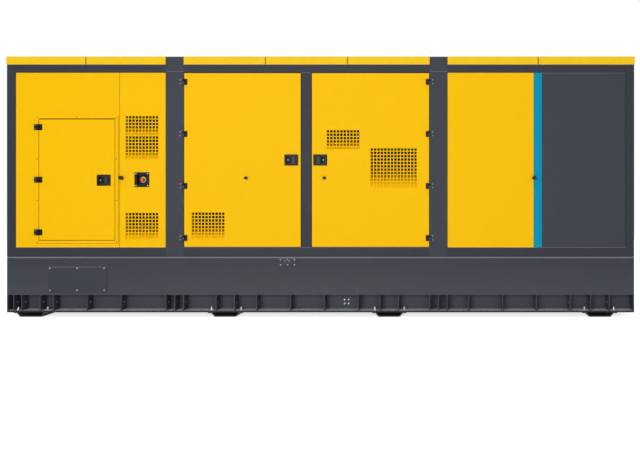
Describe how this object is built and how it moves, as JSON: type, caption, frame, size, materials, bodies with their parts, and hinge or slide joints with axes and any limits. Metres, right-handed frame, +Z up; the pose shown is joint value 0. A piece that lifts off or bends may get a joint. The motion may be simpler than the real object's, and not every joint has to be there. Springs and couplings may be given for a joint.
{
  "type": "generator set",
  "caption": "Canopied diesel generator set on a ribbed steel base with channel feet, hinged side doors, a control door, punched air grilles and paddle latches.",
  "frame": {"origin": "on the ground under the middle of the part", "axes": "+Z up, +X along the length towards the air outlet end, -Y towards the side with the control door"},
  "size_m": [7, 2.408, 2.9],
  "materials": {
    "yellow_paint": "semi-gloss powder coat",
    "slate_paint": "satin powder coat",
    "blue_paint": "semi-gloss powder coat",
    "black_hardware": "satin black",
    "black_rubber": "matt",
    "red_plastic": "gloss",
    "pale_paint": "satin",
    "engine_paint": "satin engine enamel",
    "cast_metal": "rough casting",
    "fan_metal": "satin",
    "silencer_steel": "dull aluminised steel"
  },
  "bodies": {
    "enclosure": {"base_rail_front": "slate_paint", "base_rail_rear": "slate_paint", "base_end_beams": "slate_paint", "fuel_tank": "slate_paint", "skid_feet": "slate_paint", "tank_covers": "slate_paint", "corner_posts": "slate_paint", "side_rails": "slate_paint", "end_rails": "slate_paint", "lifting_columns": "slate_paint", "lifting_beams": "slate_paint", "lifting_blocks": "slate_paint", "door_posts": "slate_paint", "door_lip_sides": "slate_paint", "door_lip_rails": "slate_paint", "roof_panels": "yellow_paint", "control_bay_panel": "yellow_paint", "control_frame_sides": "yellow_paint", "control_frame_rails": "yellow_paint", "vent_panel_front": "yellow_paint", "radiator_panel_front": "yellow_paint", "stripe_panels": "blue_paint", "outlet_panels": "slate_paint", "rear_panels": "yellow_paint", "rear_doors": "yellow_paint", "rear_hardware": "black_hardware", "inlet_end_wall": "yellow_paint", "outlet_end_wall": "slate_paint", "vent_scoops": "yellow_paint", "column_hinges": "slate_paint", "control_hinges": "black_hardware", "door_buffers": "black_rubber", "e_stop_housing": "black_hardware", "control_cabinet": "slate_paint", "control_panel": "pale_paint", "bed_rails": "slate_paint", "engine_block": "engine_paint", "engine_heads": "engine_paint", "engine_manifolds": "cast_metal", "alternator": "engine_paint", "radiator": "black_hardware", "fan": "fan_metal", "silencer": "silencer_steel"},
    "left_door": {"left_door_leaf": "yellow_paint", "left_door_scoop": "yellow_paint", "left_door_hardware": "black_hardware"},
    "left_latch": {"left_door_paddle": "black_hardware"},
    "right_door": {"right_door_leaf": "yellow_paint", "right_door_scoops": "yellow_paint", "right_door_hardware": "black_hardware"},
    "right_latch": {"right_door_paddle": "black_hardware"},
    "control_door": {"control_door_leaf": "yellow_paint", "control_door_hardware": "black_hardware"},
    "control_latch": {"control_door_paddle": "black_hardware"},
    "e_stop": {"e_stop_button": "red_plastic"}
  },
  "joints": [
    {"name": "left_door_hinge", "type": "hinge", "parent": "enclosure", "child": "left_door", "pos_m": [-1.522, -1.17, 1.748], "axis": [0, 0, -1], "range_deg": [0, 175]},
    {"name": "right_door_hinge", "type": "hinge", "parent": "enclosure", "child": "right_door", "pos_m": [1.211, -1.17, 1.748], "axis": [0, 0, 1], "range_deg": [0, 177]},
    {"name": "control_door_hinge", "type": "hinge", "parent": "enclosure", "child": "control_door", "pos_m": [-3.136, -1.176, 1.528], "axis": [0, 0, -1], "range_deg": [0, 120]},
    {"name": "left_latch_pull", "type": "hinge", "parent": "left_door", "child": "left_latch", "pos_m": [-0.27, -1.145, 1.748], "axis": [0, 0, 1], "range_deg": [0, 40], "stiffness_Nm_per_rad": 0.2},
    {"name": "right_latch_pull", "type": "hinge", "parent": "right_door", "child": "right_latch", "pos_m": [-0.06, -1.145, 1.748], "axis": [0, 0, -1], "range_deg": [0, 40], "stiffness_Nm_per_rad": 0.2},
    {"name": "control_latch_pull", "type": "hinge", "parent": "control_door", "child": "control_latch", "pos_m": [-2.357, -1.151, 1.523], "axis": [0, 0, 1], "range_deg": [0, 40], "stiffness_Nm_per_rad": 0.2},
    {"name": "e_stop_press", "type": "slide", "parent": "enclosure", "child": "e_stop", "axis": [0, 1, 0], "range_m": [0, 0.005]}
  ]
}
